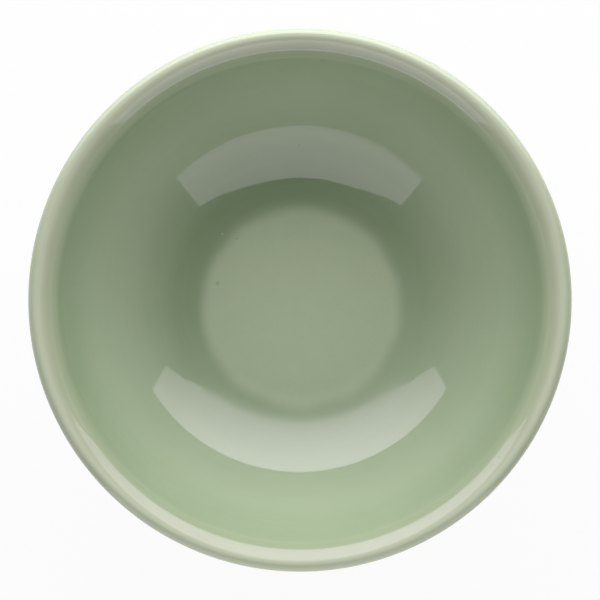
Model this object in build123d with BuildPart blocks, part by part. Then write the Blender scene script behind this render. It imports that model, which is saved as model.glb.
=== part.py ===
"""A glazed stoneware rice bowl: the fired clay, and the three coats of glaze that are fused to it.

Millimetres, +Z up. The origin is the centre of the foot's standing face, so the bowl stands on z = 0.
Every piece is a solid of revolution about Z. The faces are chains of tangent arcs. Each coat lies between a
chain and the same chain moved GLAZE deeper, and the clay starts where the coats end.
"""

import os
from math import atan2, cos, degrees, radians, sin, sqrt

from build123d import *

# Driving dimensions.
RIM_RADIUS = 65.0  # widest point of the lip
HEIGHT = 50.0  # top of the lip above the table
GLAZE = 0.35  # thickness of each coat of glaze

LIP_RADIUS = 1.7  # roundness of the lip
LIP_SLOPE = 22.0  # degrees: where the round lip runs into the inner flare
FLARE_RADIUS = 8.5  # the inside opens out to the lip along this arc
WALL_SLOPE = 69.0  # degrees: the steepest part of the inside
CORNER_SLOPE = 24.0  # degrees: where the corner runs into the wall
CORNER_RADIUS = 20.0  # inside, between floor and wall
FLOOR_RADIUS = 22.5  # the flat floor

UNDER_LIP_SLOPE = 45.0  # degrees: where the two coats meet, under the lip
UNDER_LIP_RADIUS = 6.0  # the hollow below the lip, outside
OUTER_SLOPE = 70.0  # degrees: the steepest part of the outside
OUTER_RADIUS = 60.0  # the belly
COVE_RADIUS = 3.5  # between belly and foot

FOOT_RADIUS = 30.5  # outside of the foot ring
WELL_RADIUS = 25.0  # inside of the foot ring
WELL_HEIGHT = 9.0  # the underside, inside the foot ring
WELL_FILLET = 3.0
GLAZE_LINE = 1.6  # the glaze is wiped off below this height
FOOT_EDGE = 0.9  # roundness of the bare clay at the table


def down(slope):
    """Unit vector square to a face of this slope in degrees, pointing outward and down."""
    return Vector(sin(radians(slope)), -cos(radians(slope)))


# Centres of the arcs, in the half section: X is the radius and Y the height.
lip = Vector(RIM_RADIUS - LIP_RADIUS, HEIGHT - LIP_RADIUS)
flare = lip + (FLARE_RADIUS - LIP_RADIUS) * down(LIP_SLOPE)
flare_foot = flare - FLARE_RADIUS * down(WALL_SLOPE)
corner_reach = FLOOR_RADIUS + CORNER_RADIUS * sin(radians(CORNER_SLOPE))
wall_radius = (flare_foot.X - corner_reach) / (sin(radians(WALL_SLOPE)) - sin(radians(CORNER_SLOPE)))
wall = flare_foot - wall_radius * down(WALL_SLOPE)
corner = wall + (wall_radius - CORNER_RADIUS) * down(CORNER_SLOPE)
floor_height = corner.Y - CORNER_RADIUS

under_lip = lip + (LIP_RADIUS + UNDER_LIP_RADIUS) * down(UNDER_LIP_SLOPE)
belly = under_lip - (UNDER_LIP_RADIUS + OUTER_RADIUS) * down(OUTER_SLOPE)
cove_x = FOOT_RADIUS + COVE_RADIUS
cove = Vector(cove_x, belly.Y - sqrt((OUTER_RADIUS + COVE_RADIUS) ** 2 - (cove_x - belly.X) ** 2))
well = Vector(WELL_RADIUS - WELL_FILLET, WELL_HEIGHT - WELL_FILLET)


def inside_chain(depth):
    """Floor, corner, wall, flare and lip, this deep under the surface. Returns the first and last edge."""
    floor = Line((0, floor_height - depth), (FLOOR_RADIUS, floor_height - depth))
    CenterArc(corner, CORNER_RADIUS + depth, -90, CORNER_SLOPE)
    CenterArc(wall, wall_radius + depth, CORNER_SLOPE - 90, WALL_SLOPE - CORNER_SLOPE)
    CenterArc(flare, FLARE_RADIUS - depth, WALL_SLOPE + 90, LIP_SLOPE - WALL_SLOPE)
    over_lip = UNDER_LIP_SLOPE - LIP_SLOPE - 180
    return floor, CenterArc(lip, LIP_RADIUS - depth, LIP_SLOPE + 90, over_lip)


def outside_chain(depth, bottom):
    """From under the lip down the belly and the cove to this height on the foot."""
    turn = OUTER_SLOPE - UNDER_LIP_SLOPE
    start = CenterArc(under_lip, UNDER_LIP_RADIUS + depth, UNDER_LIP_SLOPE + 90, turn)
    belly_end = degrees(atan2(cove.Y - belly.Y, cove.X - belly.X))
    CenterArc(belly, OUTER_RADIUS - depth, OUTER_SLOPE - 90, belly_end - (OUTER_SLOPE - 90))
    CenterArc(cove, COVE_RADIUS + depth, belly_end + 180, -belly_end)
    side = Line((FOOT_RADIUS - depth, cove.Y), (FOOT_RADIUS - depth, bottom))
    return start, side


def well_chain(depth, bottom):
    """From this height up the inside of the foot and across the underside to the axis."""
    side = Line((WELL_RADIUS + depth, bottom), (WELL_RADIUS + depth, well.Y))
    CenterArc(well, WELL_FILLET + depth, 0, 90)
    return side, Line((well.X, WELL_HEIGHT + depth), (0, WELL_HEIGHT + depth))


def coat(chain, *place):
    """Closes the half section of one coat, from its surface to the clay under it."""
    face_start, face_end = chain(0, *place)
    clay_start, clay_end = chain(GLAZE, *place)
    Line(face_start @ 0, clay_start @ 0)
    Line(face_end @ 1, clay_end @ 1)


with BuildPart() as clay_body:
    with BuildSketch(Plane.XZ):
        with BuildLine():
            floor_line, _ = inside_chain(GLAZE)
            outside_chain(GLAZE, FOOT_EDGE)
            outer_edge = Vector(FOOT_RADIUS - GLAZE - FOOT_EDGE, FOOT_EDGE)
            CenterArc(outer_edge, FOOT_EDGE, 0, -90)
            inner_edge = Vector(WELL_RADIUS + GLAZE + FOOT_EDGE, FOOT_EDGE)
            Line((outer_edge.X, 0), (inner_edge.X, 0))
            CenterArc(inner_edge, FOOT_EDGE, -90, -90)
            _, well_line = well_chain(GLAZE, FOOT_EDGE)
            Line(well_line @ 1, floor_line @ 0)
        make_face()
    revolve(axis=Axis.Z)

with BuildPart() as inside_glaze:
    with BuildSketch(Plane.XZ):
        with BuildLine():
            coat(inside_chain)
        make_face()
    revolve(axis=Axis.Z)

with BuildPart() as outside_glaze:
    with BuildSketch(Plane.XZ):
        with BuildLine():
            coat(outside_chain, GLAZE_LINE)
        make_face()
    revolve(axis=Axis.Z)

with BuildPart() as underside_glaze:
    with BuildSketch(Plane.XZ):
        with BuildLine():
            coat(well_chain, GLAZE_LINE)
        make_face()
    revolve(axis=Axis.Z)

clay_body.part.label = "clay_body"
inside_glaze.part.label = "inside_glaze"
outside_glaze.part.label = "outside_glaze"
underside_glaze.part.label = "underside_glaze"

os.makedirs("parts", exist_ok=True)
export_step(clay_body.part, "parts/clay_body.step")
export_step(inside_glaze.part, "parts/inside_glaze.step")
export_step(outside_glaze.part, "parts/outside_glaze.step")
export_step(underside_glaze.part, "parts/underside_glaze.step")

print(f"inside depth {HEIGHT - floor_height:.2f}, floor at {floor_height:.2f}, wall arc {wall_radius:.2f}")
print(f"clay under the floor {floor_height - WELL_HEIGHT - 2 * GLAZE:.2f}, foot ring's top at {cove.Y:.2f}")
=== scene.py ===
"""A glazed stoneware rice bowl, standing on a pale studio floor between two soft panels.

Metres, +Z up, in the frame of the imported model. The bowl is four pieces: the fired clay, and the coats of
glaze inside, outside and underneath it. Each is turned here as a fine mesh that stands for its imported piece.
Its half section is traced as a chain of straight stretches and tangent arcs, spun about the axis, and then
given the marks of throwing and turning. A dim lamp under the floor lights the bowl's underside for views from
below.
"""

import logging
from collections.abc import Sequence
from dataclasses import dataclass
from enum import Enum
from functools import cached_property
from math import atan2, cos, degrees, hypot, pi, radians, sin, sqrt
from typing import ClassVar

import bpy
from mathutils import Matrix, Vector


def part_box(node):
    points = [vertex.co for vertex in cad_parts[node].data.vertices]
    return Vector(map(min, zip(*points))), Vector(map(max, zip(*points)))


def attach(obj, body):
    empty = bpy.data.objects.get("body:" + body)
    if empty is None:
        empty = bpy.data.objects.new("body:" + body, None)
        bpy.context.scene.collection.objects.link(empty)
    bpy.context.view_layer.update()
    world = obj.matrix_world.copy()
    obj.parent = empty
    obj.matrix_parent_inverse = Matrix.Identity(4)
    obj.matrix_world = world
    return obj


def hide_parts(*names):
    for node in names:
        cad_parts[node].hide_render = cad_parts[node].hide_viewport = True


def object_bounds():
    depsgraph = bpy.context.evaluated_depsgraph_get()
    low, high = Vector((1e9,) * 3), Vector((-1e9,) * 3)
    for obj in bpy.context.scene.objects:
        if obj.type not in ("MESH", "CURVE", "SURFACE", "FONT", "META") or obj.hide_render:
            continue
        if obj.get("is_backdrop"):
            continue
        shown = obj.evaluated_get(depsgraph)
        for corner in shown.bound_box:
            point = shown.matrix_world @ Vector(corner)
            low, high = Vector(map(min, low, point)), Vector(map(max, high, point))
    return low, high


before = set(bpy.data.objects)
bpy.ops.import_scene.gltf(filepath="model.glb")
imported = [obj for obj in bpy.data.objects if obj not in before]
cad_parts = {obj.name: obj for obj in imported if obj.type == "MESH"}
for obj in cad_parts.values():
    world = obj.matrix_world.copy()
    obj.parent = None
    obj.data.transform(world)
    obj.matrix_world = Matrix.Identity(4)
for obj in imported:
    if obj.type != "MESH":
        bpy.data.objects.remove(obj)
cad_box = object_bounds()

log = logging.getLogger("rice_bowl")

MM = 0.001
MERGE_GAP = 1e-6
SMOOTH_ANGLE = radians(40)

Colour = tuple[float, float, float]


class Slot(Enum):
    """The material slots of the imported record."""

    STONEWARE = "stoneware"
    GLAZE = "celadon_glaze"


class Side(Enum):
    """Where a studio panel stands from the bowl, along Y."""

    BACK = 1
    FRONT = -1


# ---------------------------------------------------------------------------------------------------------
# Shader maths
# ---------------------------------------------------------------------------------------------------------


@dataclass(frozen=True)
class Pattern:
    """A pattern of smooth noise.

    Attributes:
        scale: Patches in a metre.
        detail: Finer layers.
        seed: Another number gives another pattern.
    """

    scale: float
    detail: float = 2.0
    seed: float = 0.0


class Value:
    """A socket in a node tree, so that shader maths reads as Python."""

    def __init__(self, tree: "Tree", socket: bpy.types.NodeSocket) -> None:
        """Wraps a socket of this tree."""
        self.tree = tree
        self.socket = socket

    def maths(self, operation: str, *others: "Value | float") -> "Value":
        """Adds a Math node that works on this value and the others."""
        return self.tree.maths(operation, self, *others)

    def __add__(self, other: "Value | float") -> "Value":
        """This value plus another."""
        return self.maths("ADD", other)

    def __radd__(self, other: float) -> "Value":
        """A number plus this value."""
        return self.maths("ADD", other)

    def __sub__(self, other: "Value | float") -> "Value":
        """This value less another."""
        return self.maths("SUBTRACT", other)

    def __rsub__(self, other: float) -> "Value":
        """A number less this value."""
        return self.tree.maths("SUBTRACT", other, self)

    def __mul__(self, other: "Value | float") -> "Value":
        """This value times another."""
        return self.maths("MULTIPLY", other)

    def __rmul__(self, other: float) -> "Value":
        """A number times this value."""
        return self.maths("MULTIPLY", other)

    def __truediv__(self, other: "Value | float") -> "Value":
        """This value divided by another."""
        return self.maths("DIVIDE", other)

    def __pow__(self, power: float) -> "Value":
        """This value to a power."""
        return self.maths("POWER", power)

    def rise(self, low: float, high: float) -> "Value":
        """A smooth step of this value. With low above high, it falls instead.

        Args:
            low: Where it is 0.
            high: Where it is 1.

        Returns:
            The step, from 0 to 1.
        """
        if low > high:
            return 1 - self.rise(high, low)
        inputs = {"Value": self, "From Min": low, "From Max": high}
        return self.tree.node("ShaderNodeMapRange", {"interpolation_type": "SMOOTHSTEP"}, inputs)

    def peak(self, start: float, top: float, end: float) -> "Value":
        """A smooth hump of this value: 0 up to start, 1 at top, and 0 again from end."""
        return self.rise(start, top) * self.rise(end, top)


class Tree:
    """The node tree of one material, world or lamp."""

    def __init__(self, owner: bpy.types.ID) -> None:
        """Takes over the owner's nodes, starting from none.

        Args:
            owner: The material, world or lamp.
        """
        owner.use_nodes = True
        self.nodes = owner.node_tree.nodes
        self.links = owner.node_tree.links
        self.nodes.clear()

    def node(
        self,
        kind: str,
        settings: dict[str, object] | None = None,
        inputs: dict[str | int, object] | None = None,
        output: str | int | None = 0,
    ) -> Value | None:
        """Adds one node.

        Args:
            kind: The node's type.
            settings: Its own settings, set before its sockets.
            inputs: A value or a link for each socket, by name or number.
            output: The name or number of the output that is wanted, or None.

        Returns:
            That output.
        """
        node = self.nodes.new(kind)
        for name, setting in (settings or {}).items():
            setattr(node, name, setting)
        for name, given in (inputs or {}).items():
            socket = node.inputs[name]
            if isinstance(given, Value):
                self.links.new(given.socket, socket)
            elif isinstance(given, tuple) and socket.type == "RGBA":
                socket.default_value = (*given, 1.0)
            else:
                socket.default_value = given
        return None if output is None else Value(self, node.outputs[output])

    def maths(self, operation: str, *values: "Value | float") -> Value:
        """Adds a Math node on these values."""
        return self.node("ShaderNodeMath", {"operation": operation}, dict(enumerate(values)))

    def place(self) -> Value:
        """The point on the piece, in its own coordinates."""
        return self.node("ShaderNodeTexCoord", output="Object")

    def split(self, vector: Value) -> tuple[Value, ...]:
        """The X, Y and Z of a vector."""
        return tuple(self.node("ShaderNodeSeparateXYZ", {}, {"Vector": vector}, axis) for axis in "XYZ")

    def reach(self, place: Value, centre: tuple[float, float] = (0.0, 0.0)) -> Value:
        """Distance of a point from an upright line.

        Args:
            place: The point.
            centre: The line's X and Y.

        Returns:
            The distance, in metres.
        """
        x, y, _ = self.split(place)
        x, y = x - centre[0], y - centre[1]
        return (x * x + y * y) ** 0.5

    def vector(self, x: "Value | float", y: "Value | float", z: "Value | float") -> Value:
        """A vector of three values."""
        return self.node("ShaderNodeCombineXYZ", inputs={"X": x, "Y": y, "Z": z})

    def blend(self, share: "Value | float", first: "Value | Colour", second: "Value | Colour") -> Value:
        """Mixes two colours.

        Args:
            share: How much of the second, from 0 to 1.
            first: The colour at 0.
            second: The colour at 1.

        Returns:
            The mixed colour.
        """
        settings = {"data_type": "RGBA", "clamp_factor": True}
        return self.node("ShaderNodeMix", settings, {0: share, 6: first, 7: second}, 2)

    def shade(self, colour: "Value | Colour", factor: Value) -> Value:
        """A colour times a number."""
        return self.node("ShaderNodeVectorMath", {"operation": "SCALE"}, {0: colour, "Scale": factor})

    def noise(self, vector: Value, pattern: Pattern) -> Value:
        """Smooth noise around 0, seldom past a quarter either way."""
        inputs = {"Vector": vector, "W": pattern.seed, "Scale": pattern.scale, "Detail": pattern.detail}
        return self.node("ShaderNodeTexNoise", {"noise_dimensions": "4D"}, inputs) - 0.5

    def bump(self, height: Value, distance: float) -> Value:
        """A normal pushed about by a height.

        Args:
            height: The relief, around 0.
            distance: How far a height of 1 stands out, in metres.

        Returns:
            The normal.
        """
        return self.node("ShaderNodeBump", inputs={"Height": height, "Distance": distance, "Strength": 1.0})


def new_material(name: str) -> tuple[bpy.types.Material, Tree]:
    """Makes a material with an empty tree."""
    material = bpy.data.materials.new(name)
    return material, Tree(material)


# ---------------------------------------------------------------------------------------------------------
# The bowl's half section
# ---------------------------------------------------------------------------------------------------------


def polar(angle: float, length: float = 1.0) -> Vector:
    """A vector of this length at an angle in degrees, anticlockwise from outward."""
    return Vector((cos(radians(angle)), sin(radians(angle)))) * length


def down(slope: float) -> Vector:
    """The unit vector square to a face of this slope in degrees, pointing outward and down."""
    return polar(slope - 90)


@dataclass(frozen=True)
class Arc:
    """One arc of a half section.

    Attributes:
        centre: Its centre's radius and height.
        turn: How far it goes round, in degrees, anticlockwise above 0.
    """

    centre: Vector
    turn: float

    def back(self) -> "Arc":
        """The same arc, gone along the other way."""
        return Arc(self.centre, -self.turn)


@dataclass(frozen=True)
class Section:
    """The bowl's half section, with the radius as X and the height as Y: metres, and slopes in degrees.

    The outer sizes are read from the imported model, and the arcs between them are the potter's. Each slope is
    the face's there, from 0 where it is level to 90 where it is upright.

    Attributes:
        rim: Widest radius of the lip.
        height: Top of the lip above the table.
        coat: Thickness of each coat of glaze.
        glaze_line: Height at which the glaze is wiped off, above the foot.
        well_radius: Inside of the foot ring.
        well_height: The underside, inside the foot ring.
        lip_radius: Roundness of the lip.
        lip_slope: Where the round lip runs into the flare.
        flare_radius: Of the arc along which the inside opens out to the lip.
        wall_slope: The steepest part of the inside.
        corner_slope: Where the corner runs into the wall.
        corner_radius: Inside, between floor and wall.
        floor_radius: Of the flat floor.
        under_lip_slope: Where the two coats meet, under the lip.
        under_lip_radius: Of the hollow below the lip, outside.
        outer_slope: The steepest part of the outside.
        outer_radius: Of the belly.
        cove_radius: Between belly and foot.
        foot_radius: Outside of the foot ring.
        well_fillet: Between the foot ring's inner side and the underside.
        foot_edge: Roundness of the bare clay at the table.
    """

    rim: float
    height: float
    coat: float
    glaze_line: float
    well_radius: float
    well_height: float

    lip_radius: float = 1.7 * MM
    lip_slope: float = 22.0
    flare_radius: float = 8.5 * MM
    wall_slope: float = 69.0
    corner_slope: float = 24.0
    corner_radius: float = 20.0 * MM
    floor_radius: float = 22.5 * MM
    under_lip_slope: float = 45.0
    under_lip_radius: float = 6.0 * MM
    outer_slope: float = 70.0
    outer_radius: float = 60.0 * MM
    cove_radius: float = 3.5 * MM
    foot_radius: float = 30.5 * MM
    well_fillet: float = 3.0 * MM
    foot_edge: float = 0.9 * MM

    @classmethod
    def from_frame(cls) -> "Section":
        """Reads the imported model's sizes. The lip is all glaze, so it stands one coat higher than the clay.

        Returns:
            The section.
        """
        low, high = cad_box
        coat = high.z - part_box("clay_body")[1].z
        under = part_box("underside_glaze")[1]
        return cls(
            rim=min(high.x, high.y, -low.x, -low.y),
            height=high.z,
            coat=coat,
            glaze_line=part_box("outside_glaze")[0].z,
            well_radius=under.x - coat,
            well_height=under.z - coat,
        )

    @cached_property
    def lip(self) -> Vector:
        """Centre of the round lip."""
        return Vector((self.rim - self.lip_radius, self.height - self.lip_radius))

    @cached_property
    def flare(self) -> Vector:
        """Centre of the arc along which the inside opens out to the lip."""
        return self.lip + (self.flare_radius - self.lip_radius) * down(self.lip_slope)

    @cached_property
    def wall_radius(self) -> float:
        """Radius of the wall's arc, which fills the gap between corner and flare.

        Returns:
            The radius.
        """
        reach = self.flare.x - self.flare_radius * sin(radians(self.wall_slope))
        start = self.floor_radius + self.corner_radius * sin(radians(self.corner_slope))
        return (reach - start) / (sin(radians(self.wall_slope)) - sin(radians(self.corner_slope)))

    @cached_property
    def wall(self) -> Vector:
        """Centre of the wall's arc."""
        return self.flare - (self.flare_radius + self.wall_radius) * down(self.wall_slope)

    @cached_property
    def corner(self) -> Vector:
        """Centre of the arc between floor and wall."""
        return self.wall + (self.wall_radius - self.corner_radius) * down(self.corner_slope)

    @cached_property
    def floor_height(self) -> float:
        """Height of the floor above the table."""
        return self.corner.y - self.corner_radius

    @cached_property
    def under_lip(self) -> Vector:
        """Centre of the hollow below the lip, outside."""
        return self.lip + (self.lip_radius + self.under_lip_radius) * down(self.under_lip_slope)

    @cached_property
    def belly(self) -> Vector:
        """Centre of the outside's arc."""
        return self.under_lip - (self.under_lip_radius + self.outer_radius) * down(self.outer_slope)

    @cached_property
    def cove(self) -> Vector:
        """Centre of the arc between belly and foot, which touches both.

        Returns:
            The centre.
        """
        x = self.foot_radius + self.cove_radius
        drop = sqrt((self.outer_radius + self.cove_radius) ** 2 - (x - self.belly.x) ** 2)
        return Vector((x, self.belly.y - drop))

    @cached_property
    def cove_turn(self) -> float:
        """How far the cove turns, from belly to foot, in degrees."""
        reach = self.cove - self.belly
        return -degrees(atan2(reach.y, reach.x))

    @cached_property
    def well(self) -> Vector:
        """Centre of the fillet inside the foot ring."""
        return Vector((self.well_radius - self.well_fillet, self.well_height - self.well_fillet))

    @cached_property
    def inside_arcs(self) -> tuple[Arc, ...]:
        """The inside's arcs, from the floor outwards.

        Returns:
            Corner, wall, flare and lip.
        """
        return (
            Arc(self.corner, self.corner_slope),
            Arc(self.wall, self.wall_slope - self.corner_slope),
            Arc(self.flare, self.lip_slope - self.wall_slope),
            Arc(self.lip, self.under_lip_slope - self.lip_slope - 180),
        )

    @cached_property
    def outside_arcs(self) -> tuple[Arc, ...]:
        """The outside's arcs, from the lip down.

        Returns:
            The hollow under the lip, the belly and the cove.
        """
        return (
            Arc(self.under_lip, self.outer_slope - self.under_lip_slope),
            Arc(self.belly, 90 - self.outer_slope - self.cove_turn),
            Arc(self.cove, self.cove_turn),
        )


class Outline:
    """A half section, traced in edit mode one stretch at a time, and then turned about the axis.

    Attributes:
        piece: The object that it becomes.
        end: The radius and height of the point that it has got to.
        FACE: Name of the vertex group of the points on the face that shows.
        TURN_STEPS: Steps of the full turn.
    """

    FACE: ClassVar[str] = "face"
    TURN_STEPS: ClassVar[int] = 360

    def __init__(self, name: str, start: Vector) -> None:
        """Starts a piece as one point on its face.

        Args:
            name: The piece's name.
            start: The point's radius and height.
        """
        bpy.ops.object.select_all(action="DESELECT")
        bpy.ops.mesh.primitive_plane_add(size=MM, location=(0, 0, 0))
        self.piece = bpy.context.object
        self.piece.name = self.piece.data.name = name
        self.piece.vertex_groups.new(name=self.FACE)
        self.end = start
        bpy.ops.object.mode_set(mode="EDIT")
        bpy.ops.mesh.merge(type="CENTER")
        bpy.ops.transform.translate(value=(start.x, 0, start.y))
        bpy.ops.object.vertex_group_assign()

    def line(self, end: Vector, rows: int = 1) -> None:
        """Goes straight to a point.

        Args:
            end: The point's radius and height.
            rows: How many rows of faces this stretch gets.
        """
        step = (end - self.end) / rows
        for _ in range(rows):
            bpy.ops.mesh.extrude_region_move(TRANSFORM_OT_translate={"value": (step.x, 0, step.y)})
        self.end = end

    def arc(self, arc: Arc, rows: int = 1) -> None:
        """Goes along an arc.

        Args:
            arc: The arc, which starts where the outline has got to.
            rows: How many rows of faces this stretch gets.
        """
        centre = (arc.centre.x, 0, arc.centre.y)
        angle = radians(arc.turn)
        bpy.ops.mesh.spin(steps=rows, angle=angle, center=centre, axis=(0, 1, 0), use_auto_merge=False)
        reach = self.end - arc.centre
        self.end = arc.centre + polar(degrees(atan2(reach.y, reach.x)) + arc.turn, reach.length)

    def follow(self, arcs: Sequence[Arc], rows: Sequence[int]) -> None:
        """Goes along a chain of arcs, each in its own number of rows."""
        for arc, count in zip(arcs, rows, strict=True):
            self.arc(arc, count)

    def follow_back(self, arcs: Sequence[Arc], rows: Sequence[int]) -> None:
        """Goes back along a chain of arcs, from its last to its first."""
        self.follow([arc.back() for arc in reversed(arcs)], rows)

    def leave_face(self, end: Vector) -> None:
        """Goes straight to a point that is no longer on the face, nor is what follows it."""
        self.line(end)
        bpy.ops.object.vertex_group_remove_from()

    def turn(self, inside: bool = False) -> bpy.types.Object:
        """Screws the outline once round the axis, and closes the seam and the poles.

        Args:
            inside: Whether the faces look inwards, as a backdrop's do.

        Returns:
            The piece.
        """
        bpy.ops.object.mode_set(mode="OBJECT")
        screw = self.piece.modifiers.new("turn", "SCREW")
        screw.steps = screw.render_steps = self.TURN_STEPS
        screw.use_merge_vertices = True
        screw.merge_threshold = MERGE_GAP
        bpy.ops.object.modifier_apply(modifier=screw.name)
        bpy.ops.object.mode_set(mode="EDIT")
        bpy.ops.mesh.select_all(action="SELECT")
        bpy.ops.mesh.remove_doubles(threshold=MERGE_GAP)
        bpy.ops.mesh.normals_make_consistent(inside=inside)
        bpy.ops.object.mode_set(mode="OBJECT")
        return self.piece


# ---------------------------------------------------------------------------------------------------------
# Marks of the hand
# ---------------------------------------------------------------------------------------------------------


def ease(value: float, low: float, high: float) -> float:
    """A smooth step of a number, from 0 at low to 1 at high. With low above high, it falls instead."""
    share = min(max((value - low) / (high - low), 0.0), 1.0)
    return share * share * (3 - 2 * share)


@dataclass(frozen=True)
class Groove:
    """A fine ring that winds about the axis as a spiral.

    Attributes:
        pitch: From one turn to the next, in metres.
        depth: Half the height of the ring, in metres.
        phase: Where it starts, in turns.
    """

    pitch: float
    depth: float
    phase: float = 0.0

    def height(self, path: float, azimuth: float) -> float:
        """How far the face stands out, at this far along the section and this azimuth in radians."""
        return self.depth * sin(2 * pi * (path / self.pitch + self.phase) + azimuth)


# ---------------------------------------------------------------------------------------------------------
# Finishes
# ---------------------------------------------------------------------------------------------------------


@dataclass(frozen=True)
class Pinhole:
    """A tiny flaw in the glaze.

    Attributes:
        radius: Its distance from the axis.
        azimuth: Its direction in degrees.
        size: Its own radius.
        strength: The share of its own colour in its middle.
        colour: Its own colour.
        CORE: The part of its size over which its colour is at full strength.
    """

    radius: float
    azimuth: float
    size: float
    strength: float = 0.6
    colour: Colour = (0.10, 0.12, 0.08)

    CORE: ClassVar[float] = 0.3

    def cover(self, tree: Tree, place: Value) -> Value:
        """How much of its colour shows at a point: its full strength in its core, and none past its edge."""
        spot = tree.reach(place, tuple(polar(self.azimuth, self.radius)))
        return self.strength * spot.rise(self.size, self.CORE * self.size)


@dataclass(frozen=True)
class CeladonGlaze:
    """A glossy grey-green glaze that is pale where it runs thin and dark where it pools.

    Its thickness counts from 0, where it breaks to the clay, through 1, on an even wall, to 2, in a deep
    pool.

    Attributes:
        section: The bowl's half section.
        thin: The colour where it breaks to the clay.
        sage: The colour on an even wall.
        pooled: The colour in a deep pool.
        gloss: The roughness of its shine.
        ior: Its index of refraction.
        sheen: The tint of its shine.
        lip_thins: In from the rim, where it starts to run thin, and where it is thinnest.
        lip_mends: In from the rim, where it starts to cover again, and where it covers best.
        lip_cover: How much it covers there.
        lip_drop: Down from the top, where the lip's thinning starts, and where it is full.
        lip_stray: How far the thin band strays.
        stray: The pattern by which it strays.
        clouds: The depth of broad uneven patches.
        cloud: Their pattern.
        streaks: The depth of fine rings in the colour.
        streak: Their pattern.
        squeeze: How far that pattern is drawn out round the axis.
        peel: The height of the orange peel, in metres.
        dimple: Its pattern.
    """

    section: Section
    thin: Colour = (0.535, 0.575, 0.43)
    sage: Colour = (0.40, 0.48, 0.33)
    pooled: Colour = (0.255, 0.335, 0.20)
    gloss: float = 0.05
    ior: float = 1.52
    sheen: Colour = (0.96, 0.86, 1.0)
    lip_thins: tuple[float, float] = (5.0 * MM, 2.3 * MM)
    lip_mends: tuple[float, float] = (2.0 * MM, 0.6 * MM)
    lip_cover: float = 0.4
    lip_drop: tuple[float, float] = (3.0 * MM, 1.6 * MM)
    lip_stray: float = 1.6 * MM
    stray: Pattern = Pattern(90, seed=7.0)
    clouds: float = 0.26
    cloud: Pattern = Pattern(55, seed=1.0)
    streaks: float = 0.16
    streak: Pattern = Pattern(620, seed=2.0)
    squeeze: float = 0.06
    peel: float = 0.004 * MM
    dimple: Pattern = Pattern(650)

    NAME: ClassVar[str] = "celadon_glaze"

    def along(self, tree: Tree, place: Value) -> Value:
        """The point, squeezed round the axis so that noise read there is drawn out into rings."""
        x, y, z = tree.split(place)
        return tree.vector(x * self.squeeze, y * self.squeeze, tree.reach(place) + z)

    def thickness(self, tree: Tree, place: Value) -> Value:
        """How thick the glaze lies: thin over the lip, and a little uneven.

        Args:
            tree: The material's tree.
            place: The point on the piece.

        Returns:
            The thickness.
        """
        inward = self.section.rim - (tree.reach(place) + self.lip_stray * tree.noise(place, self.stray))
        drop = self.section.height - tree.split(place)[2]
        lip = inward.rise(*self.lip_thins) * (1 - self.lip_cover * inward.rise(*self.lip_mends))
        lip = lip * drop.rise(*self.lip_drop)
        rings = self.streaks * tree.noise(self.along(tree, place), self.streak)
        return 1 - lip + self.clouds * tree.noise(place, self.cloud) + rings

    def colour(self, tree: Tree, place: Value) -> Value:
        """The colour that comes of the thickness.

        Args:
            tree: The material's tree.
            place: The point on the piece.

        Returns:
            The colour.
        """
        thickness = self.thickness(tree, place)
        colour = tree.blend(thickness, self.thin, self.sage)
        return tree.blend(thickness - 1, colour, self.pooled)

    def roughness(self, tree: Tree, place: Value) -> "Value | float":
        """The surface's roughness, which is the same all over."""
        return self.gloss

    def relief(self, tree: Tree, place: Value) -> Value:
        """A normal with the faint orange peel of a fired glaze."""
        return tree.bump(tree.noise(place, self.dimple), self.peel)

    def material(self) -> bpy.types.Material:
        """Builds the glaze.

        Returns:
            The material.
        """
        material, tree = new_material(self.NAME)
        place = tree.place()
        inputs = {
            "Base Color": self.colour(tree, place),
            "Roughness": self.roughness(tree, place),
            "IOR": self.ior,
            "Specular Tint": self.sheen,
            "Normal": self.relief(tree, place),
        }
        shader = tree.node("ShaderNodeBsdfPrincipled", {}, inputs)
        tree.node("ShaderNodeOutputMaterial", {}, {"Surface": shader}, None)
        return material


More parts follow.
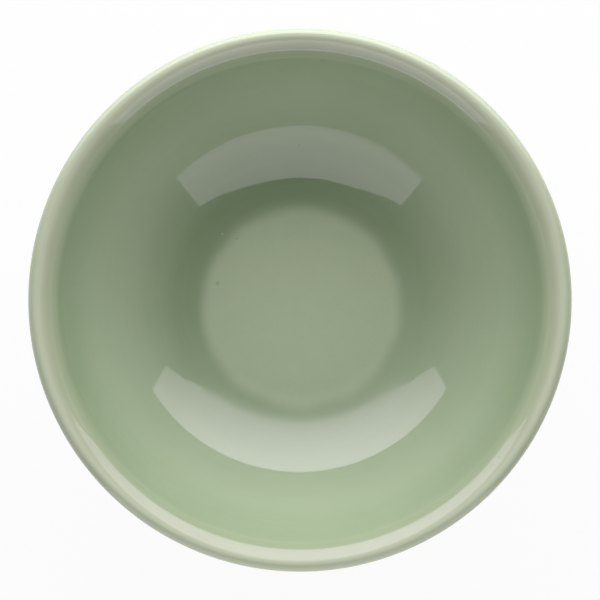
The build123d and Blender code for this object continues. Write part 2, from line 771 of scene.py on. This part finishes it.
@dataclass(frozen=True)
class InsideFinish(CeladonGlaze):
    """The glaze inside: frosted and satin on the floor, pooled round it, with painted shade on the pool's back
    side, and rolled thick under the lip.

    Attributes:
        frosted: The floor's colour.
        frost_centre: The middle of the frosting, in X and Y.
        frost_inner: How far out from there it is full.
        frost_outer: How far out from there it ends.
        frost_stray: How far its edge strays.
        frost_edge: The pattern by which it strays.
        satin: The floor's roughness.
        satin_centre: The middle of the satin, in X and Y.
        satin_inner: How far out from there it is full.
        satin_outer: How far out from there it ends.
        pool_depth: How much thicker the glaze lies in the pool round the floor.
        pool_starts: Out from the floor's edge, where the pool starts, and where it is full.
        pool_wanes: Out from the floor's edge, where its near share has gone, and where that starts to go.
        pool_fades: The same for the rest of it.
        near_share: The pool's share that goes first.
        pool_shade_lean: Painted shade: how much darker the pool is towards X and towards Y, darkest at the
            back, where the corner faces away from the key panel.
        roll_depth: How much thicker the glaze lies in the roll under the lip.
        roll: In from the rim, where the roll ends, where it is thickest, and where it starts.
        amber: The colour that the clay lends the glaze just inside the lip.
        warmth: The most of that colour.
        warm_band: In from the rim, where it ends, where there is most, and where it starts.
        grain: The depth of the floor's grain.
        gloss_grain: The share of it where there is no frosting.
        fine: The grain's pattern.
        mottle: A broader pattern, laid over it.
        mottle_share: How strong that is beside it.
        pinholes: The flaws.
    """

    frosted: Colour = (0.49, 0.567, 0.40)
    frost_centre: tuple[float, float] = (0.5 * MM, -2.1 * MM)
    frost_inner: float = 22.2 * MM
    frost_outer: float = 26.2 * MM
    frost_stray: float = 2.0 * MM
    frost_edge: Pattern = Pattern(120, seed=3.0)
    satin: float = 0.27
    satin_centre: tuple[float, float] = (0.5 * MM, -3.5 * MM)
    satin_inner: float = 25.0 * MM
    satin_outer: float = 33.0 * MM
    pool_depth: float = 0.6
    pool_starts: tuple[float, float] = (-2.5 * MM, 4.0 * MM)
    pool_wanes: tuple[float, float] = (14.0 * MM, 7.0 * MM)
    pool_fades: tuple[float, float] = (19.0 * MM, 13.0 * MM)
    near_share: float = 0.55
    pool_shade_lean: tuple[float, float] = (-0.22, 0.50)
    roll_depth: float = 0.58
    roll: tuple[float, float, float] = (3.8 * MM, 8.0 * MM, 16.0 * MM)
    amber: Colour = (0.43, 0.42, 0.30)
    warmth: float = 0.35
    warm_band: tuple[float, float, float] = (2.4 * MM, 4.0 * MM, 8.0 * MM)
    grain: float = 0.05
    gloss_grain: float = 0.35
    fine: Pattern = Pattern(1500, seed=5.0)
    mottle: Pattern = Pattern(260, seed=6.0)
    mottle_share: float = 0.8
    pinholes: tuple[Pinhole, ...] = (
        Pinhole(25.1 * MM, 139.6, 0.22 * MM, colour=(0.8, 0.82, 0.74)),
        Pinhole(21.7 * MM, 135.9, 0.20 * MM),
        Pinhole(38.0 * MM, 90.4, 0.20 * MM),
        Pinhole(60.6 * MM, -38.3, 0.22 * MM),
        Pinhole(20.7 * MM, 168.7, 0.75 * MM, strength=0.25),
    )

    NAME: ClassVar[str] = "celadon_inside"

    def thickness(self, tree: Tree, place: Value) -> Value:
        """How thick the glaze lies, with the pool round the floor and the roll under the lip, and painted
        shade that darkens the pool towards the back.

        Args:
            tree: The material's tree.
            place: The point on the piece.

        Returns:
            The thickness.
        """
        x, y, _ = tree.split(place)
        reach = tree.reach(place)
        past = reach - self.section.floor_radius
        near = self.near_share * past.rise(*self.pool_wanes)
        far = (1 - self.near_share) * past.rise(*self.pool_fades)
        pool = past.rise(*self.pool_starts) * (near + far)
        # Painted shade: the pool is darkened towards the back and a little to the left, where the corner faces
        # away from the key panel. The added millimetre keeps this from dividing by 0 on the axis.
        lean = 1 + (x * self.pool_shade_lean[0] + y * self.pool_shade_lean[1]) / (reach + MM)
        roll = (self.section.rim - reach).peak(*self.roll)
        return super().thickness(tree, place) + self.pool_depth * pool * lean + self.roll_depth * roll

    def frost(self, tree: Tree, place: Value) -> Value:
        """Where the floor's frosting lies, a little off the middle."""
        edge = tree.reach(place, self.frost_centre) + self.frost_stray * tree.noise(place, self.frost_edge)
        return edge.rise(self.frost_outer, self.frost_inner)

    def colour(self, tree: Tree, place: Value) -> Value:
        """The glaze's colour, frosted and grainy on the floor, with a few pinholes.

        Args:
            tree: The material's tree.
            place: The point on the piece.

        Returns:
            The colour.
        """
        frost = self.frost(tree, place)
        grain = tree.noise(place, self.fine) + self.mottle_share * tree.noise(place, self.mottle)
        warmth = self.warmth * (self.section.rim - tree.reach(place)).peak(*self.warm_band)
        colour = tree.blend(warmth, super().colour(tree, place), self.amber)
        colour = tree.blend(frost, colour, self.frosted)
        colour = tree.shade(colour, 1 + self.grain * grain * (self.gloss_grain + frost))
        for hole in self.pinholes:
            colour = tree.blend(hole.cover(tree, place), colour, hole.colour)
        return colour

    def roughness(self, tree: Tree, place: Value) -> "Value | float":
        """Satin on the floor, glossy elsewhere."""
        satin = tree.reach(place, self.satin_centre).rise(self.satin_outer, self.satin_inner)
        return self.gloss + (self.satin - self.gloss) * satin


@dataclass(frozen=True)
class BareStoneware:
    """Unglazed fired clay: matt, buff, toasted towards the glaze, with fine grit.

    Attributes:
        buff: The clay's own colour.
        toasted: Its colour where the fire has caught it.
        roughness: Its roughness.
        toast: How much of it is toasted at the edge of the glaze.
        toast_band: Heights above the table at which the toasting starts and is full.
        cloud: The pattern of uneven toasting.
        grit: The grit's pattern.
        speckle: How far the grit shows in the colour.
        tooth: The grit's height, in metres.
    """

    buff: Colour = (0.60, 0.52, 0.40)
    toasted: Colour = (0.42, 0.28, 0.17)
    roughness: float = 0.82
    toast: float = 0.5
    toast_band: tuple[float, float] = (0.4 * MM, 1.8 * MM)
    cloud: Pattern = Pattern(120, seed=4.0)
    grit: Pattern = Pattern(1800, detail=3.0)
    speckle: float = 0.5
    tooth: float = 0.05 * MM

    def material(self) -> bpy.types.Material:
        """Builds the bare clay.

        Returns:
            The material.
        """
        material, tree = new_material("bare_stoneware")
        place = tree.place()
        grit = tree.noise(place, self.grit)
        height = tree.split(place)[2]
        flame = self.toast * height.rise(*self.toast_band) + tree.noise(place, self.cloud)
        colour = tree.blend(flame, self.buff, self.toasted)
        colour = tree.shade(colour, 1 + self.speckle * grit)
        inputs = {"Base Color": colour, "Roughness": self.roughness, "Normal": tree.bump(grit, self.tooth)}
        shader = tree.node("ShaderNodeBsdfPrincipled", {}, inputs)
        tree.node("ShaderNodeOutputMaterial", {}, {"Surface": shader}, None)
        return material


# ---------------------------------------------------------------------------------------------------------
# The four pieces
# ---------------------------------------------------------------------------------------------------------


@dataclass
class TurnedPiece:
    """One piece of the bowl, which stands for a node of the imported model.

    Attributes:
        section: The bowl's half section.
        grooves: The rings in its face.
    """

    section: Section
    grooves: tuple[Groove, ...] = ()

    NAME: ClassVar[str]
    NODE: ClassVar[str]
    SLOT: ClassVar[Slot]

    def trace(self) -> Outline:
        """Traces the half section."""
        raise NotImplementedError

    def relief(self, point: Vector) -> float:
        """How far the face stands out at a point, in metres."""
        raise NotImplementedError

    def material(self) -> bpy.types.Material:
        """Makes the finish."""
        raise NotImplementedError

    def rings(self, path: float, point: Vector) -> float:
        """How far the grooves stand out, at this far along the section and in this point's direction."""
        azimuth = atan2(point.y, point.x)
        return sum(groove.height(path, azimuth) for groove in self.grooves)

    def mark(self, piece: bpy.types.Object) -> None:
        """Moves each point of the face along its normal, by the relief there.

        Args:
            piece: The turned piece, whose face is its one vertex group.
        """
        vertices = piece.data.vertices
        moves = [(vertex, vertex.normal * self.relief(vertex.co)) for vertex in vertices if vertex.groups]
        for vertex, move in moves:
            vertex.co += move

    def build(self) -> bpy.types.Object:
        """Turns the piece, marks it, finishes it, and puts it in its node's place.

        Returns:
            The piece.
        """
        piece = self.trace().turn()
        self.mark(piece)
        piece.vertex_groups.clear()
        bpy.ops.object.select_all(action="DESELECT")
        piece.select_set(True)
        bpy.ops.object.shade_smooth_by_angle(angle=SMOOTH_ANGLE)
        piece.data.materials.append(self.material())
        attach(piece, "root")
        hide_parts(self.NODE)
        log.info("%s: %d faces, stands for %s", piece.name, len(piece.data.polygons), self.NODE)
        return piece


@dataclass
class InsideGlaze(TurnedPiece):
    """The glaze over the inside and the lip.

    Attributes:
        rings_start: How far past the floor's edge the rings reach half their depth.
        rings_grow: Where they start to deepen, and where they are full, as shares of the rim's radius.
        rings_end: In from the rim, where they have ended, and where they start to fade.
        seam: The last bit of the lip, in degrees, in a row of its own that keeps the edge crisp.
        floor_rows: Rows of faces across the floor.
        face_rows: Rows along corner, wall, flare and lip.
        back_rows: Rows against the clay, along lip, flare, wall and corner.
        back_floor_rows: Rows against the clay, across the floor.
    """

    grooves: tuple[Groove, ...] = (
        Groove(3.1 * MM, 0.003 * MM),
        Groove(1.9 * MM, 0.0015 * MM, 0.3),
        Groove(5.7 * MM, 0.006 * MM, 0.6),
    )
    rings_start: float = 6.0 * MM
    rings_grow: tuple[float, float] = (0.62, 0.72)
    rings_end: tuple[float, float] = (4.0 * MM, 8.0 * MM)
    seam: float = 0.4
    floor_rows: int = 25
    face_rows: tuple[int, ...] = (44, 84, 24, 30)
    back_rows: tuple[int, ...] = (12, 6, 12, 4)
    back_floor_rows: int = 2

    NAME: ClassVar[str] = "glaze_inside"
    NODE: ClassVar[str] = "inside_glaze"
    SLOT: ClassVar[Slot] = Slot.GLAZE

    def trace(self) -> Outline:
        """Traces floor, corner, wall, flare and lip, and comes back along the clay.

        Returns:
            The outline.
        """
        cut = self.section
        *arcs, lip = cut.inside_arcs
        *rows, lip_rows = self.face_rows
        outline = Outline(self.NAME, Vector((0, cut.floor_height)))
        outline.line(Vector((cut.floor_radius, cut.floor_height)), self.floor_rows)
        outline.follow(arcs, rows)
        outline.arc(Arc(lip.centre, lip.turn + self.seam), lip_rows)
        outline.arc(Arc(lip.centre, -self.seam))
        outline.leave_face(outline.end - down(cut.under_lip_slope) * cut.coat)
        outline.follow_back(cut.inside_arcs, self.back_rows)
        outline.line(Vector((0, cut.floor_height - cut.coat)), self.back_floor_rows)
        return outline

    def relief(self, point: Vector) -> float:
        """Throwing rings, stronger high on the wall.

        Args:
            point: A point on the face.

        Returns:
            How far the face stands out there, in metres.
        """
        cut = self.section
        radius = hypot(point.x, point.y)
        share = 0.5 * ease(radius, cut.floor_radius, cut.floor_radius + self.rings_start)
        share += 0.5 * ease(radius, *(part * cut.rim for part in self.rings_grow))
        share *= ease(cut.rim - radius, *self.rings_end)
        return share * self.rings(radius + point.z, point)

    def material(self) -> bpy.types.Material:
        """Makes the finish."""
        return InsideFinish(self.section).material()


@dataclass
class OutsideGlaze(TurnedPiece):
    """The glaze over the outside, from under the lip to the line above the foot.

    Attributes:
        rings_start: How far above the foot's top the rings are full.
        rings_end: Down from the top, where they have ended, and where they start to fade.
        seam: The first bit of the hollow, in degrees, in a row of its own that keeps the edge crisp.
        face_rows: Rows of faces along hollow, belly and cove.
        side_rows: Rows down the foot's side.
        edge_rows: Rows round the glaze's lower edge.
        back_rows: Rows against the clay, along cove, belly and hollow.
        back_side_rows: Rows against the clay, up the foot's side.
    """

    grooves: tuple[Groove, ...] = (
        Groove(4.3 * MM, 0.006 * MM, 0.1),
        Groove(2.3 * MM, 0.002 * MM, 0.5),
    )
    rings_start: float = 5.0 * MM
    rings_end: tuple[float, float] = (5.0 * MM, 9.0 * MM)
    seam: float = 0.2
    face_rows: tuple[int, ...] = (10, 80, 14)
    side_rows: int = 14
    edge_rows: int = 6
    back_rows: tuple[int, ...] = (6, 14, 4)
    back_side_rows: int = 2

    NAME: ClassVar[str] = "glaze_outside"
    NODE: ClassVar[str] = "outside_glaze"
    SLOT: ClassVar[Slot] = Slot.GLAZE

    def trace(self) -> Outline:
        """Traces the hollow, the belly, the cove and the foot's side, and comes back along the clay.

        Returns:
            The outline.
        """
        cut = self.section
        hollow, *arcs = cut.outside_arcs
        hollow_rows, *rows = self.face_rows
        start = cut.under_lip - down(cut.under_lip_slope) * cut.under_lip_radius
        inner, edge = cut.foot_radius - cut.coat, cut.glaze_line + cut.coat
        outline = Outline(self.NAME, start)
        outline.arc(Arc(hollow.centre, self.seam))
        outline.arc(Arc(hollow.centre, hollow.turn - self.seam), hollow_rows)
        outline.follow(arcs, rows)
        outline.line(Vector((cut.foot_radius, edge)), self.side_rows)
        outline.arc(Arc(Vector((inner, edge)), -90), self.edge_rows)
        outline.leave_face(Vector((inner, edge + cut.coat)))
        outline.line(Vector((inner, cut.cove.y)), self.back_side_rows)
        outline.follow_back(cut.outside_arcs, self.back_rows)
        outline.line(start)
        return outline

    def relief(self, point: Vector) -> float:
        """Turning rings on the belly.

        Args:
            point: A point on the face.

        Returns:
            How far the face stands out there, in metres.
        """
        cut = self.section
        share = ease(point.z - cut.cove.y, 0, self.rings_start) * ease(cut.height - point.z, *self.rings_end)
        return share * self.rings(hypot(point.x, point.y) + point.z, point)

    def material(self) -> bpy.types.Material:
        """Makes the finish."""
        return CeladonGlaze(self.section).material()


@dataclass
class UndersideGlaze(TurnedPiece):
    """The glaze over the underside, inside the foot ring.

    Attributes:
        rings_start: Distances from the axis at which the rings start and are full.
        rings_end: How far inside the fillet they start to fade.
        flat_rows: Rows of faces across the underside.
        fillet_rows: Rows along the fillet.
        side_rows: Rows down the foot's inner side.
        edge_rows: Rows round the glaze's lower edge.
        back_fillet_rows: Rows against the clay, along the fillet.
        back_flat_rows: Rows against the clay, across the underside.
    """

    grooves: tuple[Groove, ...] = (Groove(3.7 * MM, 0.03 * MM),)
    rings_start: tuple[float, float] = (0.5 * MM, 3.0 * MM)
    rings_end: float = 4.0 * MM
    flat_rows: int = 40
    fillet_rows: int = 12
    side_rows: int = 8
    edge_rows: int = 6
    back_fillet_rows: int = 8
    back_flat_rows: int = 2

    NAME: ClassVar[str] = "glaze_underside"
    NODE: ClassVar[str] = "underside_glaze"
    SLOT: ClassVar[Slot] = Slot.GLAZE

    def trace(self) -> Outline:
        """Traces the underside, the fillet and the foot's inner side, and comes back along the clay.

        Returns:
            The outline.
        """
        cut = self.section
        fillet = Arc(cut.well, -90)
        outer, edge = cut.well_radius + cut.coat, cut.glaze_line + cut.coat
        outline = Outline(self.NAME, Vector((0, cut.well_height)))
        outline.line(Vector((cut.well.x, cut.well_height)), self.flat_rows)
        outline.arc(fillet, self.fillet_rows)
        outline.line(Vector((cut.well_radius, edge)), self.side_rows)
        outline.arc(Arc(Vector((outer, edge)), 90), self.edge_rows)
        outline.leave_face(Vector((outer, edge + cut.coat)))
        outline.line(Vector((outer, cut.well.y)))
        outline.arc(fillet.back(), self.back_fillet_rows)
        outline.line(Vector((0, cut.well_height + cut.coat)), self.back_flat_rows)
        return outline

    def relief(self, point: Vector) -> float:
        """The turning tool's spiral.

        Args:
            point: A point on the face.

        Returns:
            How far the face stands out there, in metres.
        """
        radius = hypot(point.x, point.y)
        share = ease(radius, *self.rings_start) * ease(self.section.well.x - radius, 0, self.rings_end)
        return share * self.rings(radius, point)

    def material(self) -> bpy.types.Material:
        """Makes the finish."""
        return CeladonGlaze(self.section).material()


@dataclass
class ClayBody(TurnedPiece):
    """The fired clay, which shows only at the foot.

    Attributes:
        inside_rows: Rows of faces under the inside glaze, along corner, wall, flare and lip.
        outside_rows: Rows under the outside glaze, along hollow, belly and cove.
        hidden_rows: Rows along each straight stretch under glaze.
        bare_rows: Rows up each bare side of the foot.
        edge_rows: Rows round each of its edges.
        ring_rows: Rows across its standing face.
        fillet_rows: Rows along the fillet over the well.
    """

    grooves: tuple[Groove, ...] = (Groove(0.9 * MM, 0.012 * MM),)
    inside_rows: tuple[int, ...] = (4, 14, 6, 12)
    outside_rows: tuple[int, ...] = (4, 14, 6)
    hidden_rows: int = 2
    bare_rows: int = 8
    edge_rows: int = 10
    ring_rows: int = 24
    fillet_rows: int = 8

    NAME: ClassVar[str] = "stoneware_body"
    NODE: ClassVar[str] = "clay_body"
    SLOT: ClassVar[Slot] = Slot.STONEWARE

    def trace(self) -> Outline:
        """Traces the clay from the floor over the lip, down the belly, and round the foot to the underside.

        Returns:
            The outline.
        """
        cut = self.section
        under_floor = cut.floor_height - cut.coat
        outer, inner = cut.foot_radius - cut.coat, cut.well_radius + cut.coat
        bare, edge = cut.glaze_line + 2 * cut.coat, cut.foot_edge
        outline = Outline(self.NAME, Vector((0, under_floor)))
        outline.line(Vector((cut.floor_radius, under_floor)), self.hidden_rows)
        outline.follow(cut.inside_arcs, self.inside_rows)
        outline.follow(cut.outside_arcs, self.outside_rows)
        outline.line(Vector((outer, bare)), self.hidden_rows)
        outline.line(Vector((outer, edge)), self.bare_rows)
        outline.arc(Arc(Vector((outer - edge, edge)), -90), self.edge_rows)
        outline.line(Vector((inner + edge, 0)), self.ring_rows)
        outline.arc(Arc(Vector((inner + edge, edge)), -90), self.edge_rows)
        outline.line(Vector((inner, bare)), self.bare_rows)
        outline.line(Vector((inner, cut.well.y)), self.hidden_rows)
        outline.arc(Arc(cut.well, 90), self.fillet_rows)
        outline.line(Vector((0, cut.well_height + cut.coat)), self.hidden_rows)
        return outline

    def relief(self, point: Vector) -> float:
        """Fine turning lines round the foot, cut into it so that it still stands on its face.

        Args:
            point: A point on the clay.

        Returns:
            How far the clay stands out there, in metres, which is never above 0.
        """
        if point.z > self.section.glaze_line:
            return 0.0
        path = hypot(point.x, point.y) + point.z
        return self.rings(path, point) - sum(groove.depth for groove in self.grooves)

    def material(self) -> bpy.types.Material:
        """Makes the finish."""
        return BareStoneware().material()


# ---------------------------------------------------------------------------------------------------------
# The studio
# ---------------------------------------------------------------------------------------------------------


@dataclass(frozen=True)
class Panel:
    """A soft light panel that stands beside the bowl and leans over it.

    Attributes:
        name: The lamp's name.
        side: Where it stands.
        distance: Of its lower edge from the bowl's axis.
        base: Height of its lower edge.
        width: Its length along X.
        height: From its lower to its upper edge.
        lean: How far it leans, in degrees.
        radiance: How bright its brightest part looks.
        ends: The share of that at its two ends.
        foot: The share of that at its lower edge.
        full: How far up it reaches its full brightness, as a share of its height.
        brow: The share of that at its upper edge, to which it fades over its upper half.
        MIDDLE: Halfway across or down it, as a share of its width or height.
        EVEN: How near the middle of its width it stops brightening, as a share of the width.
    """

    name: str
    side: Side
    distance: float
    base: float
    width: float
    height: float
    lean: float
    radiance: float
    ends: float
    foot: float
    full: float
    brow: float = 1.0

    MIDDLE: ClassVar[float] = 0.5
    EVEN: ClassVar[float] = 0.05

    def build(self) -> None:
        """Puts the lamp in place."""
        data = bpy.data.lights.new(self.name, "AREA")
        data.shape = "RECTANGLE"
        data.size, data.size_y = self.width, self.height
        data.energy = self.radiance * pi * self.width * self.height
        lamp = bpy.data.objects.new(self.name, data)
        bpy.context.scene.collection.objects.link(lamp)
        lean = radians(self.lean)
        half = self.height / 2
        away = self.distance - half * sin(lean)
        lamp.location = (0, self.side.value * away, self.base + half * cos(lean))
        lamp.rotation_euler = (lean - pi / 2, 0, 0 if self.side is Side.BACK else pi)
        lamp.visible_camera = False
        self.grade(Tree(data))

    def grade(self, tree: Tree) -> None:
        """Fades the lamp towards its edges.

        Args:
            tree: The lamp's tree.
        """
        across, fallen, _ = tree.split(tree.node("ShaderNodeNewGeometry", output="Parametric"))
        off_middle = (across - self.MIDDLE).maths("ABSOLUTE")
        strength = self.ends + (1 - self.ends) * off_middle.rise(self.MIDDLE, self.EVEN)
        strength = strength * (self.foot + (1 - self.foot) * fallen.rise(1.0, 1 - self.full))
        strength = strength * (self.brow + (1 - self.brow) * fallen.rise(0.0, self.MIDDLE))
        emission = tree.node("ShaderNodeEmission", {}, {"Strength": strength})
        tree.node("ShaderNodeOutputLight", {}, {"Surface": emission}, None)


@dataclass(frozen=True)
class Studio:
    """Floor, backdrop, panels, surroundings and camera.

    Attributes:
        section: The bowl's half section.
        floor_radius: How far the flat floor reaches.
        wall_radius: How far the low backdrop reaches.
        wall_height: How high it rises.
        near_rows: Rows of faces in the floor near the bowl.
        far_rows: Rows of faces in the rest of it.
        wall_rows: Rows of faces in the backdrop.
        paper: Colour of both.
        paper_glow: How far they show as plain white, where they are seen and don't only catch light.
        surroundings: The level of the light from all round.
        below_size: Diameter of the lamp under the floor.
        below_depth: How deep it stands.
        below_radiance: How bright it looks.
        camera_height: Above the table.
        rim_share: The rim's share of the frame's width.
    """

    section: Section
    floor_radius: float = 2.0
    wall_radius: float = 2.4
    wall_height: float = 0.33
    near_rows: int = 8
    far_rows: int = 12
    wall_rows: int = 4
    paper: Colour = (0.8, 0.8, 0.8)
    paper_glow: float = 0.93
    surroundings: float = 0.08
    below_size: float = 0.9
    below_depth: float = 0.45
    below_radiance: float = 1.3
    camera_height: float = 1.17
    rim_share: float = 0.906

    def floor(self) -> bpy.types.Object:
        """Makes the floor and the low backdrop in one, open below the bowl's foot.

        Returns:
            The floor.
        """
        cut = self.section
        outline = Outline("studio_floor", Vector((cut.foot_radius - cut.coat - cut.foot_edge, 0)))
        outline.line(Vector((2 * cut.rim, 0)), self.near_rows)
        outline.line(Vector((self.floor_radius, 0)), self.far_rows)
        outline.line(Vector((self.wall_radius, self.wall_height)), self.wall_rows)
        floor = outline.turn(inside=True)
        floor.data.materials.append(self.floor_finish())
        floor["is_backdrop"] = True
        return floor

    def floor_finish(self) -> bpy.types.Material:
        """Pale paper that shows as white, with the bowl's shadow, and isn't there from below.

        Returns:
            The material.
        """
        material, tree = new_material("studio_paper")
        straight = tree.node("ShaderNodeLightPath", output="Is Camera Ray")
        mirrored = tree.node("ShaderNodeLightPath", output="Is Glossy Ray")
        passed = tree.node("ShaderNodeLightPath", output="Is Transmission Ray")
        seen = straight.maths("MAXIMUM", mirrored).maths("MAXIMUM", passed)
        paper = tree.node("ShaderNodeBsdfDiffuse", {}, {"Color": self.paper})
        glow = tree.node("ShaderNodeEmission", {}, {"Strength": 1.0})
        front = tree.node("ShaderNodeMixShader", {}, {0: seen * self.paper_glow, 1: paper, 2: glow})
        clear = tree.node("ShaderNodeBsdfTransparent")
        behind = tree.node("ShaderNodeNewGeometry", output="Backfacing") * straight
        surface = tree.node("ShaderNodeMixShader", {}, {0: behind, 1: front, 2: clear})
        tree.node("ShaderNodeOutputMaterial", {}, {"Surface": surface}, None)
        return material

    def panels(self) -> tuple[Panel, ...]:
        """The two panels.

        Returns:
            The long bright one behind the bowl, and the dimmer one in front.
        """
        key = Panel(
            "key_panel",
            Side.BACK,
            distance=0.41,
            base=0.06,
            width=1.17,
            height=0.36,
            lean=20,
            radiance=4.55,
            ends=0.55,
            foot=0.6,
            full=0.3,
            brow=0.78,
        )
        fill = Panel(
            "fill_panel",
            Side.FRONT,
            distance=0.39,
            base=0.0,
            width=0.76,
            height=0.416,
            lean=5,
            radiance=2.1,
            ends=0.8,
            foot=0.7,
            full=0.95,
        )
        return key, fill

    def light(self) -> None:
        """Sets up the surroundings, the panels and the lamp below."""
        world = bpy.data.worlds.new("studio")
        bpy.context.scene.world = world
        tree = Tree(world)
        sky = tree.node("ShaderNodeBackground", {}, {"Color": (self.surroundings,) * 3, "Strength": 1.0})
        tree.node("ShaderNodeOutputWorld", {}, {"Surface": sky}, None)
        for panel in self.panels():
            panel.build()
        self.light_below()

    def light_below(self) -> None:
        """Puts a soft lamp under the floor, to light the bowl's underside through the opening there."""
        data = bpy.data.lights.new("lamp_below", "AREA")
        data.shape = "DISK"
        data.size = self.below_size
        data.energy = self.below_radiance * (pi * self.below_size / 2) ** 2
        lamp = bpy.data.objects.new("lamp_below", data)
        bpy.context.scene.collection.objects.link(lamp)
        lamp.location = (0, 0, -self.below_depth)
        lamp.rotation_euler = (pi, 0, 0)
        lamp.visible_camera = False

    def camera(self) -> None:
        """Looks straight down, with the rim at its share of the frame's width."""
        data = bpy.data.cameras.new("overhead")
        camera = bpy.data.objects.new("overhead", data)
        bpy.context.scene.collection.objects.link(camera)
        camera.location = (0, 0, self.camera_height)
        # The rim is widest at the height of the lip's centre.
        reach = self.camera_height - self.section.lip.y
        data.lens = data.sensor_width * reach * self.rim_share / (2 * self.section.rim)
        bpy.context.scene.camera = camera


def write_sizes() -> None:
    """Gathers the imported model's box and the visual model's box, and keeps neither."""
    boxes = {"cad": cad_box, "visual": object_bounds()}
    {name: [list(corner) for corner in box] for name, box in boxes.items()}


def main() -> None:
    """Builds the studio and the bowl, and reports each piece."""
    logging.basicConfig(level=logging.INFO, format="%(name)s: %(message)s")
    section = Section.from_frame()
    studio = Studio(section)
    studio.camera()
    studio.light()
    studio.floor()
    for kind in (ClayBody, InsideGlaze, OutsideGlaze, UndersideGlaze):
        kind(section).build()
    bpy.context.scene.view_settings.view_transform = "Standard"
    write_sizes()


if __name__ == "__main__":
    main()
